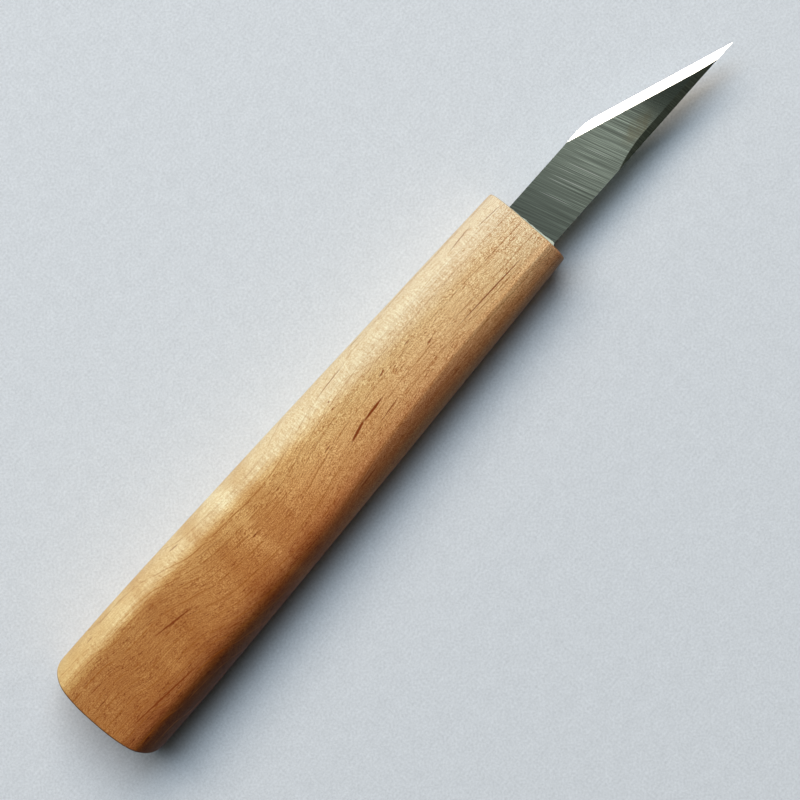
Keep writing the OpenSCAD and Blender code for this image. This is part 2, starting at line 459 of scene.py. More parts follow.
# %% [markdown]
# The rings become one closed mesh: neighbouring rings are joined by four-sided faces, and the two
# end faces are closed with strips between the upper and the lower half of the last ring. Strips
# follow the bowed butt, which one flat polygon could not.

# %% Loft the handle
def add_piece(name, bm):
    """Turns a mesh under construction into an object of the scene."""
    bmesh.ops.recalc_face_normals(bm, faces=bm.faces)
    mesh = bpy.data.meshes.new(name)
    bm.to_mesh(mesh)
    bm.free()
    piece = bpy.data.objects.new(name, mesh)
    scene.collection.objects.link(piece)
    return piece


def join_rings(bm, rows):
    """Four-sided faces between each ring and the next."""
    for near, far in zip(rows, rows[1:]):
        for i in range(len(near)):
            after = (i + 1) % len(near)
            bm.faces.new((near[i], far[i], far[after], near[after]))


def close_end(bm, ring):
    """Strips across a ring, from its upper to its lower half."""
    count = len(ring)
    for i in range(count // 2):
        loop = [ring[i], ring[i + 1], ring[count - i - 1], ring[(count - i) % count]]
        bm.faces.new([v for n, v in enumerate(loop) if v not in loop[:n]])


bm = bmesh.new()
to_butt = Vector((butt_x, 0, 0))
rows = [[bm.verts.new(Vector(sanded(p)) + to_butt) for p in ring] for ring in handle_rings()]
join_rings(bm, rows)
close_end(bm, rows[0])
close_end(bm, rows[-1])
handle = add_piece("handle_wood", bm)
print("handle:", len(handle.data.polygons), "faces")

# %% [markdown]
# The tang of the blade sits in a slot that is sawn into the mouth, with glue all round. The slot is
# cut with a boolean, as a cutter would: a long flat bar with round ends is taken away. The blade
# was set a little out of line with the handle, so slot and blade share one matrix that starts at
# the mouth and is turned by that small angle.

# %% Cut the slot
BLADE_WIDTH = 12.4 * MM
BLADE_OFFSET = -0.55 * MM
BLADE_SKEW = math.radians(0.55)
TANG_LENGTH = 52 * MM
GLUE_GAP = 0.3 * MM
ROUND_STEPS = 16
OVER = 1 * MM

slot_width = BLADE_WIDTH + 2 * GLUE_GAP
slot_thickness = blade_thickness + 2 * GLUE_GAP
from_mouth = Matrix.Translation((mouth_x, BLADE_OFFSET, blade_level))
along_bar = from_mouth @ Matrix.Rotation(-BLADE_SKEW, 4, "Z")


def prism(name, outline, low, high, turn, rounding=0.0):
    """A solid of an outline in X and Y, from low to high along Z, turned to its place."""
    bm = bmesh.new()
    bottom = [bm.verts.new((x, y, low)) for x, y in outline]
    top = [bm.verts.new((x, y, high)) for x, y in outline]
    bm.faces.new(bottom[::-1])
    bm.faces.new(top)
    for i in range(len(outline)):
        after = (i + 1) % len(outline)
        bm.faces.new((bottom[i], bottom[after], top[after], top[i]))
    if rounding:
        rims = [e for e in bm.edges if e.verts[0].co.z == e.verts[1].co.z]
        bmesh.ops.bevel(bm, geom=rims, offset=rounding, segments=2, profile=0.5, affect="EDGES")
    bmesh.ops.transform(bm, matrix=turn, verts=bm.verts)
    return add_piece(name, bm)


def slot_bar():
    """The bar that the slot takes, drawn out of the mouth a little."""
    reach = (slot_width - slot_thickness) / 2
    radius = slot_thickness / 2
    outline = []
    for side, start in ((1, 0.0), (-1, math.pi)):
        for i in range(ROUND_STEPS + 1):
            at = start + math.pi * i / ROUND_STEPS
            outline.append((radius * math.cos(at), side * reach + radius * math.sin(at)))
    lay_down = Matrix.Rotation(-math.pi / 2, 4, "Y")
    return prism("slot", outline, -OVER, TANG_LENGTH + GLUE_GAP, along_bar @ lay_down)


def boolean(piece, cutter):
    """Takes a cutter away from a piece; the cut face gets the cutter's material."""
    modifier = piece.modifiers.new("cut", "BOOLEAN")
    modifier.object = cutter
    modifier.operation = "DIFFERENCE"
    modifier.solver = "EXACT"
    modifier.material_mode = "TRANSFER"
    shaped = piece.evaluated_get(bpy.context.evaluated_depsgraph_get())
    mesh = bpy.data.meshes.new_from_object(shaped)
    piece.modifiers.clear()
    old = piece.data
    piece.data = mesh
    mesh.name = piece.name
    bpy.data.meshes.remove(old)
    bpy.data.objects.remove(cutter)


def smooth_sides(piece, sharp_angle):
    """Smooth shading, with edges kept crisp where faces meet at more than an angle."""
    piece.data.shade_smooth()
    piece.data.set_sharp_from_angle(angle=math.radians(sharp_angle))


boolean(handle, slot_bar())
smooth_sides(handle, 40)
print("slot", round(slot_width / MM, 1), "by", round(slot_thickness / MM, 1), "mm")

# %% [markdown]
# The wood is a pale, fine-pored hardwood with an oiled, satin finish. A photograph of wood would
# only fit one face, so the figure is solid: the nodes work out the colour at each place inside the
# board, and the flats, sides and end grain all show the same growth rings, cut differently. First
# comes the course of the grain. A curve says how far the growth lines stray across the board on
# their way along it, and a second curve counts the rings, whose gaps are never quite equal.

# %% Growth rings
GRAIN_COURSE = (
    (0, 4), (9, 3.9), (16, 2.4), (24, 2.1), (34, -0.5), (44, -3.2), (52, -3.9), (60, -4.4),
    (65, -4.2), (74, -2.6), (84, -1.2), (94, -0.4), (109, 0), (124, -0.4), (141, -1),
)
RING_LINES = (-27.9, -25.3, -22.5, -20.0, -16.9, -14.5, -11.6, -9.1, -6.7,
              -3.9, -1.4, 2.3, 5.4, 7.6, 10.5, 14.3, 18.1)
RING_SLOPE = 0.1
STRAY = 6.0
WANDER = 0.32
RING_SPAN = (-30.0, 20.0)

wood, nodes, shader = new_material("oiled_wood")
place = place_in_mm(nodes, (butt_x, 0, 0))
x, y, z = nodes.split(place)
length = handle_length / MM
course = nodes.curve(nodes.math("DIVIDE", x, length),
                     [(at / length, 0.5 + stray / (2 * STRAY)) for at, stray in GRAIN_COURSE])
stray = nodes.between(course, 0.0, 1.0, -STRAY, STRAY, "LINEAR")
wander = nodes.noise(place, (0.11, 0.3, 0.3), 2.0, 0.5)
wander = nodes.between(wander, 0.0, 1.0, -WANDER, WANDER, "LINEAR")
below_top = nodes.math("MULTIPLY", nodes.math("SUBTRACT", z, butt_thickness / MM), RING_SLOPE)
ring_place = nodes.math("ADD", nodes.math("SUBTRACT", y, stray), nodes.math("ADD", below_top, wander))

ring_count = len(RING_LINES) - 1
low, high = RING_SPAN
ring_points = [((line - low) / (high - low), i / ring_count) for i, line in enumerate(RING_LINES)]
ring = nodes.curve(nodes.between(ring_place, low, high, kind="LINEAR"), ring_points, "VECTOR")
ring = nodes.math("MULTIPLY", ring, ring_count)
ring_number = nodes.math("FLOOR", ring)
ring_age = nodes.math("FRACT", ring)
ring_tone = nodes.add("ShaderNodeTexWhiteNoise", {"W": ring_number}, noise_dimensions="1D")
print(ring_count, "growth rings")

# %% [markdown]
# Each ring ends in a thin dark line. The line is a narrow band where the count of rings passes a
# whole number, and it comes and goes along the board. Streaks, fibres and pores make a finer
# texture: noise that is stretched along the grain, in three sizes. A fine speckle, hardly stretched
# at all, is what gives wood its grain at arm's length, so it's strong.

# %% Lines and fibres
LINE_EDGE = (0.006, 0.046)  # share of a ring
LINE_FAINT = 0.22

near_line = nodes.math("MINIMUM", ring_age, nodes.math("SUBTRACT", 1.0, ring_age))
line = nodes.between(near_line, *LINE_EDGE, 1.0, 0.0)
fading = nodes.between(nodes.noise(place, (0.4, 0.5, 0.5), 2.0, 0.6), 0.38, 0.55, LINE_FAINT, 1.0)
line = nodes.math("MULTIPLY", line, fading)

grain_shift = nodes.add("ShaderNodeCombineXYZ", {"Y": nodes.math("MULTIPLY", stray, -1.0)})
grain_place = nodes.vector("ADD", place, grain_shift)
streak = nodes.noise(grain_place, (0.05, 1.6, 1.6), 4.0, 0.6)
fibre = nodes.noise(grain_place, (0.12, 6.0, 6.0), 0.0, 0.5)
pore = nodes.noise(grain_place, (0.5, 6.0, 6.0), 0.0, 0.5)
speckle = nodes.noise(place, (4.2, 6.0, 6.0), 0.0, 0.5)
print("lines, fibres and speckle")

# %% [markdown]
# Across the grain runs the figure: bands of lighter and redder wood, where the fibres wave up and
# down. Each band is a soft bump in a measure along the handle, and noise in that measure makes the
# bands wavy.

# %% Bands of the figure
BANDS = (  # from the butt, half length, strength
    (8.5, 3.5, -0.07), (21.0, 3.5, 0.13), (28.5, 4.0, -0.12), (38.0, 5.5, 0.09),
    (45.5, 3.8, -0.17), (53.0, 3.2, 0.18), (59.0, 5.0, -0.15), (75.0, 10.0, 0.06),
)
WAVE = 5.5

wavy = nodes.noise(place, (0.12, 0.2, 0.2), 3.0, 0.6)
wavy = nodes.math("ADD", x, nodes.between(wavy, 0.0, 1.0, -WAVE, WAVE, "LINEAR"))
figure = 0.0
for at, half_length, strength in BANDS:
    away = nodes.math("ABSOLUTE", nodes.math("SUBTRACT", wavy, at))
    figure = nodes.math("ADD", figure, nodes.between(away, 0.0, half_length, strength, 0.0))
print(len(BANDS), "bands across the grain")

# %% [markdown]
# Real boards have small accidents: mineral streaks, short dark vessels and a few long hairlines.
# The eye finds them at once, so the ones that show in the photograph are set one by one, each as a thin
# ellipsoid in the wood. A mapping node shrinks the space round it to a unit sphere, and the distance from
# the middle tells how dark the wood is there.

# %% Flecks
FLECKS = (  # from the butt, across, half length, half width, turn in degrees, strength
    (83.8, -1.5, 3.0, 0.34, 13, 1.0), (89.3, -0.9, 3.5, 0.31, 4, 1.0), (96.3, 2.8, 1.1, 0.19, 9, 0.85),
    (104.9, 3.1, 0.9, 0.16, 0, 0.75), (108.2, -0.4, 1.0, 0.18, 8, 0.85), (124.9, -3.2, 10.4, 0.15, -2, 0.9),
    (92.1, -3.5, 2.6, 0.15, 6, 0.85), (76.6, 0.9, 1.0, 0.15, 5, 0.75), (84.3, 7.3, 0.3, 0.17, 0, 0.8),
    (27.5, 1.4, 5.6, 0.2, -11, 1.0), (14.0, -7.5, 11.0, 0.2, -6, 1.0), (5.7, 4.5, 1.5, 0.15, -1, 0.8),
    (44.9, 5.9, 4.4, 0.11, -9, 0.4), (39.1, 11.8, 1.3, 0.13, -9, 0.6), (12.4, 12.4, 1.0, 0.12, 0, 0.5),
    (35.5, -8.8, 1.8, 0.17, -18, 0.7), (29.0, -10.3, 4, 0.16, -14, 0.65), (77.7, -9.7, 3.7, 0.16, 4, 0.8),
    (88.0, 10.0, 5.0, 0.1, 3, 0.65), (129.0, 9.1, 3.7, 0.14, 2, 0.6), (136.7, 7.6, 3.8, 0.12, -6, 0.6),
    (97.8, 11.7, 1.7, 0.11, -2, 0.4), (47.5, -8.9, 6.0, 0.1, 1, 0.4), (57.5, -8.6, 4.0, 0.11, 2, 0.45),
)
FLECK_DEPTH, FLECK_EDGE = 1.4, (0.65, 1.15)
RAGGED = 0.12


def ellipsoid(nodes, place, centre, half_sizes, turn, core=0.3, rim=1.0):
    """1 in the core of an ellipsoid, 0 outside its rim."""
    local = nodes.add("ShaderNodeMapping", {
        "Vector": place, "Location": centre, "Rotation": (0, 0, math.radians(turn)), "Scale": half_sizes,
    }, vector_type="TEXTURE")
    distance = nodes.add("ShaderNodeVectorMath", {0: local}, 1, operation="LENGTH")
    return nodes.between(distance, core, rim, 1.0, 0.0)


def height_at(x, y):
    """Height of the upper side of the handle at a place, from its section."""
    outline = section(x, 0)
    for (y0, z0), (y1, z1) in zip(outline, outline[1:]):
        if y1 <= y <= y0:
            return half_thick(x) + mix(z0, z1, (y0 - y) / (y0 - y1))


ragged = nodes.noise(place, (0.9, 4.0, 4.0), 2.0, 0.6)
ragged = nodes.add("ShaderNodeCombineXYZ", {"Y": nodes.between(ragged, 0, 1, -RAGGED, RAGGED, "LINEAR")})
fleck_place = nodes.vector("ADD", place, ragged)
fleck = 0.0
for at, side, half_length, half_broad, turn, strength in FLECKS:
    height = height_at(at * MM, side * MM) / MM
    half_sizes = (half_length, half_broad, FLECK_DEPTH)
    mark = ellipsoid(nodes, fleck_place, (at, side, height), half_sizes, turn, *FLECK_EDGE)
    fleck = nodes.math("MAXIMUM", fleck, nodes.math("MULTIPLY", mark, strength))
print(len(FLECKS), "flecks")

# %% [markdown]
# The bands aren't even from side to side: here and there the wood is lighter or redder than the band
# says. These clouds of the figure are ellipsoids of the same kind, but broad and without a firm rim.

# %% Clouds of the figure
CLOUDS = (  # from the butt, across, half length, half width, strength
    (13.5, -2.5, 3.2, 2.4, 0.16), (20.5, -4.2, 3.2, 2.8, 0.17), (18.0, 5.6, 3.0, 2.2, 0.12),
    (48.5, 5.2, 4.0, 2.4, 0.13), (49.0, -2.5, 3.6, 3.6, -0.15), (37.0, -0.4, 2.6, 2.4, -0.13),
    (66.5, -4.4, 4.4, 3.2, -0.13), (77.0, -4.4, 3.6, 2.2, -0.12), (57.5, -6.5, 2.4, 3.2, 0.12),
    (41.0, -6.8, 2.4, 2.6, 0.13), (29.0, -1.8, 2.6, 2.2, -0.08), (87.5, -1.6, 4.4, 3.0, -0.1),
    (83.5, 5.4, 3.2, 2.0, 0.1), (17.0, -8.6, 5.0, 1.4, 0.16), (64.0, 6.0, 3.2, 1.6, 0.12),
)
CLOUD_DEPTH, CLOUD_EDGE = 8.0, (0.0, 1.4)

cloud = 0.0
for at, side, half_length, half_broad, strength in CLOUDS:
    height = height_at(at * MM, side * MM) / MM
    half_sizes = (half_length, half_broad, CLOUD_DEPTH)
    mark = ellipsoid(nodes, place, (at, side, height), half_sizes, 0, *CLOUD_EDGE)
    cloud = nodes.math("MULTIPLY_ADD", mark, strength, cloud)
print(len(CLOUDS), "clouds")

# %% [markdown]
# Where the rounding cuts across the rays of the tree, they show as short pale dashes that stand across the
# grain. They are real grain, but they are painted only on the rounding that faces the window, where they
# catch its light, so their paleness is partly a painted sheen. The normal of the surface tells where that
# is. The same normal finds the two ends, where the fibres are cut through: end grain drinks more oil and is
# darker.

# %% Rays and end grain
normal_x, normal_y, _ = nodes.split(nodes.add("ShaderNodeNewGeometry", output=1))
# painted sheen: the mask picks only the rounding that faces the window
on_lit_rounding = nodes.math("MULTIPLY", nodes.between(normal_y, 0.22, 0.4),
                         nodes.between(normal_y, 0.6, 0.8, 1.0, 0.0))
ray_sheen = nodes.between(nodes.noise(place, (2.6, 0.4, 0.4), 0.0, 0.5), 0.4, 0.66, -0.5, 1.0)
ray_sheen = nodes.math("MULTIPLY", ray_sheen, on_lit_rounding)
end_grain = nodes.between(nodes.math("ABSOLUTE", normal_x), 0.6, 0.95)
towards_butt = nodes.math("MULTIPLY", normal_x, -1.0)
# a dark rim is painted round the broken edge of the butt
dark_butt_rim = nodes.math("MULTIPLY", nodes.between(towards_butt, 0.35, 0.6),
                      nodes.between(towards_butt, 0.85, 0.98, 1.0, 0.0))
print("rays on the rounding, end grain at both ends")

# %% [markdown]
# Now the colour is put together, starting with the board itself. It runs from cream at the mouth to a warm
# brown at the butt. Along the side of the cutting edge, the rounding that faces the window is painted
# paler, and the flat beside it is painted lighter near the butt. This is a painted sheen of the window's
# light, golden where it meets the board.

# %% Board and painted sheen
ALONG_HANDLE = (
    (0.0, (0.445, 0.179, 0.047)), (0.12, (0.426, 0.164, 0.0395)), (0.34, (0.535, 0.235, 0.065)),
    (0.48, (0.633, 0.318, 0.105)), (0.62, (0.69, 0.40, 0.157)), (0.90, (0.776, 0.516, 0.256)),
    (1.0, (0.834, 0.61, 0.362)),
)
LIT_SIDE_SHEEN = (
    (0.0, (0.66, 0.44, 0.18)), (0.25, (0.70, 0.50, 0.255)), (0.5, (0.72, 0.53, 0.305)),
    (1.0, (0.73, 0.595, 0.405)),
)
SHEEN_BEGINS, SHEEN_FULL = (0.51, 0.20), (0.77, 0.70)  # share of the half width, butt and mouth
GOLDEN_SHEEN, LIT_BORDER = (1.0, 0.86, 0.5), (1.05, 1.13, 1.2)

colour = nodes.ramp(nodes.math("DIVIDE", x, length), ALONG_HANDLE)
sheen_colour = nodes.ramp(nodes.math("DIVIDE", x, length), LIT_SIDE_SHEEN)
taper = nodes.math("MAXIMUM", nodes.math("SUBTRACT", x, GRIP_PARALLEL / MM), 0.0)
taper = nodes.math("POWER", nodes.math("DIVIDE", taper, (handle_length - GRIP_PARALLEL) / MM), TAPER_POWER)
side_at = nodes.between(taper, 0.0, 1.0, butt_width / 2 / MM, MOUTH_WIDTH / 2 / MM, "LINEAR")
to_side = nodes.math("DIVIDE", y, side_at)
to_side = nodes.math("ADD", to_side, nodes.between(streak, 0.0, 1.0, -0.08, 0.08, "LINEAR"))
# painted sheen: the rounding that faces the window is painted paler
lit_sheen = nodes.between(to_side, nodes.between(x, 20.0, 130.0, *SHEEN_BEGINS),
                        nodes.between(x, 20.0, 130.0, *SHEEN_FULL))
golden_sheen = nodes.math("MULTIPLY", nodes.math("SUBTRACT", 1.0, lit_sheen),
                    nodes.between(x, 60.0, 100.0, 1.0, 0.0))
sheen_colour = nodes.mix(golden_sheen, sheen_colour, (*GOLDEN_SHEEN, 1), "MULTIPLY")
# painted light: the flat next to the lit rounding is painted lighter towards the butt
lit_border = nodes.math("MULTIPLY", nodes.between(to_side, 0.27, 0.42),
                    nodes.between(x, 45.0, 70.0, 1.0, 0.0))
colour = nodes.mix(lit_border, colour, (*LIT_BORDER, 1), "MULTIPLY")
colour = nodes.mix(nodes.math("MULTIPLY", lit_sheen, 0.95), colour, sheen_colour)
print("board from", ALONG_HANDLE[0][1], "to", ALONG_HANDLE[-1][1])

# %% [markdown]
# Towards the back, the side turned away from the window, the colour is darkened and browned: this is
# painted shade. In the middle it is a touch lighter towards the window, which is painted light. How dark it
# is changes along the handle, so it has three courses across the board, for the butt, the middle and the
# mouth, and the place along the handle mixes them. The result is multiplied into the colour of the board.

# %% Painted shade on the back
BACK_SHADE_AT_BUTT = (
    (0.0, (0.30, 0.215, 0.105)), (0.14, (0.37, 0.235, 0.115)), (0.25, (0.64, 0.47, 0.46)),
    (0.46, (0.97, 0.89, 0.87)), (0.66, (1.0, 0.98, 0.99)), (1.0, (0.99, 0.99, 1.0)),
)
BACK_SHADE_IN_MIDDLE = (
    (0.0, (0.46, 0.36, 0.25)), (0.14, (0.60, 0.34, 0.24)), (0.25, (0.67, 0.42, 0.37)),
    (0.46, (0.88, 0.745, 0.685)), (0.68, (0.96, 0.88, 0.85)), (0.85, (1.0, 0.99, 0.99)),
    (1.0, (1.0, 1.05, 1.08)),
)
BACK_SHADE_AT_MOUTH = (
    (0.0, (0.33, 0.25, 0.19)), (0.14, (0.86, 0.51, 0.33)), (0.25, (1.0, 0.73, 0.56)),
    (0.46, (0.93, 0.875, 0.805)), (0.68, (0.97, 0.96, 0.94)), (0.85, (1.0, 1.0, 1.0)),
    (1.0, (1.0, 1.0, 1.0)),
)

# painted shade: the back of the handle, away from the window, is darkened
to_back = nodes.between(to_side, -1.0, 0.3, kind="LINEAR")
back_shade_colour = nodes.mix(nodes.between(x, 22.0, 70.0), nodes.ramp(to_back, BACK_SHADE_AT_BUTT),
                         nodes.ramp(to_back, BACK_SHADE_IN_MIDDLE))
back_shade_colour = nodes.mix(nodes.between(x, 96.0, 136.0), back_shade_colour, nodes.ramp(to_back, BACK_SHADE_AT_MOUTH))
colour = nodes.mix(1.0, colour, back_shade_colour, "MULTIPLY")
print("painted_back_shade from", BACK_SHADE_AT_BUTT[0][1], "at the back of the butt")

# %% [markdown]
# On that base come the figure, the rings, streaks, fibres and speckle, and the rays: tones round 1 that are
# multiplied into the colour. A darker tone takes away more blue than red, because dark wood is browner. The
# lines and flecks are mixed in after that, and last the end grain and a dark rim round the broken edge of
# the butt.

# %% Grain and marks on the wood
FIGURE_SHARES = (0.6, 1.1, 1.6)  # of red, green and blue
RAY_SHEEN_TONE = 0.085
LINE_BROWN, FLECK_BROWN = (0.33, 0.095, 0.01), (0.23, 0.042, 0.004)
END_BROWN, RIM_BROWN = (0.20, 0.085, 0.028), (0.10, 0.04, 0.015)

figure_tone = nodes.math("ADD", figure, cloud)
figure_colour = [nodes.math("MULTIPLY_ADD", figure_tone, share, 1.0) for share in FIGURE_SHARES]
colour = nodes.mix(1.0, colour, nodes.rgb(*figure_colour), "MULTIPLY")

ring_shade = nodes.between(ring_tone, 0.0, 1.0, -0.03, 0.03, "LINEAR")
streak_tone = nodes.between(streak, 0.3, 0.7, -0.035, 0.035, "LINEAR")
fibre_tone = nodes.between(fibre, 0.45, 0.75, 0.02, -0.15, "LINEAR")
pore_tone = nodes.between(pore, 0.6, 0.76, 0.0, -0.35, "LINEAR")
fibre_tone = nodes.math("ADD", fibre_tone, pore_tone)
speckle_tone = nodes.between(speckle, 0.25, 0.75, 0.4, -0.4, "LINEAR")
grain_tone = nodes.math("ADD", nodes.math("MULTIPLY", fibre_tone, nodes.between(x, 35.0, 85.0, 1.15, 1.0)),
                        nodes.math("MULTIPLY", speckle_tone, nodes.between(x, 35.0, 85.0, 0.9, 1.0)))
# under the painted sheen of the lit side the grain is painted fainter
grain_tone = nodes.math("MULTIPLY", grain_tone, nodes.between(lit_sheen, 0.0, 1.0, 1.0, 0.5, "LINEAR"))
tone = nodes.math("ADD", ring_shade, nodes.math("ADD", streak_tone, grain_tone))
# the pale ray dashes on the rounding facing the window are partly a painted sheen
tone = nodes.math("ADD", nodes.math("MULTIPLY_ADD", ray_sheen, RAY_SHEEN_TONE, tone), 1.0)
colour = nodes.mix(1.0, colour, nodes.browned(tone), "MULTIPLY")
# the growth lines are painted fainter under that painted sheen too
line = nodes.math("MULTIPLY", line, nodes.between(lit_sheen, 0.0, 1.0, 1.0, 0.42, "LINEAR"))
line = nodes.math("MULTIPLY", line, nodes.between(x, 45.0, 95.0, 1.0, 0.7))
colour = nodes.mix(line, colour, (*LINE_BROWN, 1))
colour = nodes.mix(fleck, colour, (*FLECK_BROWN, 1))
colour = nodes.mix(nodes.math("MULTIPLY", end_grain, 0.45), colour, (*END_BROWN, 1))
colour = nodes.mix(nodes.math("MULTIPLY", dark_butt_rim, 0.75), colour, (*RIM_BROWN, 1))
wood.node_tree.links.new(colour, shader.inputs["Base Color"])
print("figure, grain, lines and flecks on the board")

# %% [markdown]
# The fibres also make a very shallow bump, and the surface is rougher where they are cut open. The
# oil has soaked in, so only a faint sheen is left.

# %% Finish of the wood
bump = nodes.add("ShaderNodeBump", {"Height": fibre, "Strength": 0.3, "Distance": 0.00004}, invert=True)
wood.node_tree.links.new(bump, shader.inputs["Normal"])
rough = nodes.between(fibre, 0.3, 0.7, 0.50, 0.60, "LINEAR")
wood.node_tree.links.new(rough, shader.inputs["Roughness"])
shader.inputs["Specular IOR Level"].default_value = 0.12
handle.data.materials.clear()
handle.data.materials.append(wood)
print("wood nodes:", len(wood.node_tree.nodes))

# %% [markdown]
# Ground steel is a mirror with scratches. Its graph takes the place on the bar, turns it so that one axis
# lies across the scratches, and stretches noise along them. The flat has been rubbed on abrasive paper.
# That left hairlines, most of them where it was worked most, and a few deep scratches. Like the flecks of
# the wood these are set one by one: each is a very thin ellipsoid. Hairlines and scratches are painted
# brighter than the steel: a painted glint of the window's light that they catch. The flat and the relief
# are tinted green, a painted reflection of the greenish room. Near the tip the flat has a faint, patchy
# straw colour. A bump of less than a thousandth of a millimetre breaks up the reflection.

# %% Steel finishes
SCRATCH_TURN = 16.5
SCRATCH_GLINT_GAIN = 2.3
STRAW = (0.35, 0.31, 0.195)
face_level = blade_thickness / 2 / MM
SCRATCHES = (  # from the mouth, across, half length, half width, strength
    (8.3, 0.0, 5.0, 0.09, 0.9), (8.8, -0.3, 4.6, 0.07, 0.6), (12.0, -0.4, 5.0, 0.07, 0.7),
    (13.1, -0.3, 5.6, 0.09, 0.9), (15.9, -0.3, 5.7, 0.07, 0.6), (17.1, -0.8, 5.6, 0.08, 0.8),
    (18.9, -0.6, 5.0, 0.07, 0.5), (21.6, -0.2, 5.2, 0.08, 0.8), (22.4, -1.2, 4.6, 0.07, 0.6),
    (25.4, -1.6, 4.0, 0.07, 0.6), (28.6, -2.2, 3.0, 0.07, 0.5), (4.6, 0.4, 4.8, 0.06, 0.3),
    (11.2, 2.5, 2.6, 0.07, 0.6), (14.4, 1.9, 3.0, 0.06, 0.5), (19.8, 1.2, 4.2, 0.07, 0.6),
)


def steel(name, base, roughness, scratch_turn, contrast, rubbed=False):
    """A ground steel whose tone, roughness and bump all follow its scratches."""
    material, nodes, shader = new_material(name)
    place = place_in_mm(nodes, (mouth_x, BLADE_OFFSET, blade_level))
    turned = nodes.add("ShaderNodeVectorRotate", {"Vector": place, "Angle": math.radians(-scratch_turn)},
                       rotation_type="Z_AXIS")
    fine = nodes.noise(turned, (7.0, 0.06, 0.06), 0.0, 0.5)
    wide = nodes.noise(turned, (0.9, 0.03, 0.03), 2.0, 0.5)
    tone = nodes.between(fine, 0.25, 0.75, 1 - contrast, 1 + contrast, "LINEAR")
    tone = nodes.math("ADD", tone, nodes.between(wide, 0.3, 0.7, -contrast / 30, contrast / 30, "LINEAR"))
    if rubbed:
        out_of_mouth = nodes.split(place)[0]
        # painted glint: hairlines are painted brighter where the flat was worked
        hair_glint = nodes.between(nodes.noise(turned, (6.5, 0.06, 0.06), 0.0, 0.5), 0.62, 0.72, 0.0, 0.65)
        worked = nodes.math("MULTIPLY", nodes.between(out_of_mouth, 6.0, 12.0),
                            nodes.between(out_of_mouth, 30.0, 36.0, 1.0, 0.2))
        tone = nodes.math("ADD", tone, nodes.math("MULTIPLY", hair_glint, worked))
        # painted glint: each scratch is painted brighter than the steel
        for at, side, half_length, half_broad, strength in SCRATCHES:
            half_sizes = (half_broad, half_length, 1.0)
            mark = ellipsoid(nodes, place, (at, side, face_level), half_sizes, scratch_turn)
            tone = nodes.math("ADD", tone, nodes.math("MULTIPLY", mark, strength * SCRATCH_GLINT_GAIN))
    colour = nodes.mix(1.0, (*base, 1), nodes.grey(tone), "MULTIPLY")
    if rubbed:
        warm = ellipsoid(nodes, place, (31.8, -3.6, face_level), (6.5, 2.8, 2.8), 0)
        patchy = nodes.noise(place, (0.35, 0.5, 0.5), 3.0, 0.6)
        warm = nodes.math("MULTIPLY", warm, nodes.between(patchy, 0.3, 0.65, 0.35, 1.0))
        colour = nodes.mix(nodes.math("MULTIPLY", warm, 0.55), colour, (*STRAW, 1))
    material.node_tree.links.new(colour, shader.inputs["Base Color"])
    rough = nodes.between(fine, 0.3, 0.7, roughness * 1.25, roughness * 0.8, "LINEAR")
    material.node_tree.links.new(rough, shader.inputs["Roughness"])
    bump = nodes.add("ShaderNodeBump", {"Height": fine, "Strength": 0.2, "Distance": 0.0000005})
    material.node_tree.links.new(bump, shader.inputs["Normal"])
    shader.inputs["Metallic"].default_value = 1.0
    return material


# the green in the flat's and the relief's base colour is a painted reflection of the greenish room
ground_flat = steel("ground_flat", (0.395, 0.455, 0.40), 0.05, SCRATCH_TURN, 0.4, rubbed=True)
honed_bevel = steel("honed_bevel", (0.80, 0.81, 0.79), 0.16, -20, 0.04)
wheel_relief = steel("wheel_relief", (0.56, 0.60, 0.54), 0.08, 4, 0.3)
print("steel finishes made")

# %% [markdown]
# The blade starts as a flat steel bar with a tang, cut to its outline: straight back, rounded heel
# and skew front. Its rims are rounded a very little, because no real edge but the cutting edge is
# sharp.

# %% Bar of steel
EDGE_ANGLE = math.radians(19.9)
HEEL_RADIUS = 16 * MM
TANG_END_WIDTH = 7 * MM
HEEL_STEPS = 16
RIM = 0.05 * MM

edge = BLADE_WIDTH / 2
half_steel = blade_thickness / 2
blade_length = (tip_x - mouth_x + edge * math.sin(BLADE_SKEW)) / math.cos(BLADE_SKEW)


def bar_outline():
    """Tang, rounded heel, cutting edge, tip and straight back, from the mouth."""
    corner = blade_length - BLADE_WIDTH / math.tan(EDGE_ANGLE)
    start = corner - HEEL_RADIUS * math.tan(EDGE_ANGLE / 2)
    outline = [(-TANG_LENGTH, -TANG_END_WIDTH / 2), (-TANG_LENGTH, TANG_END_WIDTH / 2), (0, edge)]
    for i in range(HEEL_STEPS + 1):
        at = EDGE_ANGLE * i / HEEL_STEPS
        outline.append((start + HEEL_RADIUS * math.sin(at), edge - HEEL_RADIUS * (1 - math.cos(at))))
    return outline + [(blade_length, -edge), (0, -edge)]


blade = prism("blade_steel", bar_outline(), -half_steel, half_steel, along_bar, RIM)
blade.data.materials.append(ground_flat)
print(f"bar {blade_length / MM:.1f} mm long in front of the mouth")

# %% [markdown]
# Then the bar is ground as in the workshop, on both faces alike: a bevel along the cutting edge and
# a shallow relief along the front of the back, which runs out in the curve of the wheel. Each
# grinding is a cutter, a prism of what the wheel takes away, and it leaves its own finish on the
# steel.

# %% Grind the blade
BEVEL_WIDTH = 1.95 * MM
EDGE_LAND = 0.05 * MM
RELIEF_LENGTH = 37 * MM
RELIEF_WIDTH = 1.5 * MM
RELIEF_DEPTH = 0.12 * MM
RUN_OUT = 10 * MM
RUN_OUT_STEPS = 24
REACH = 0.2


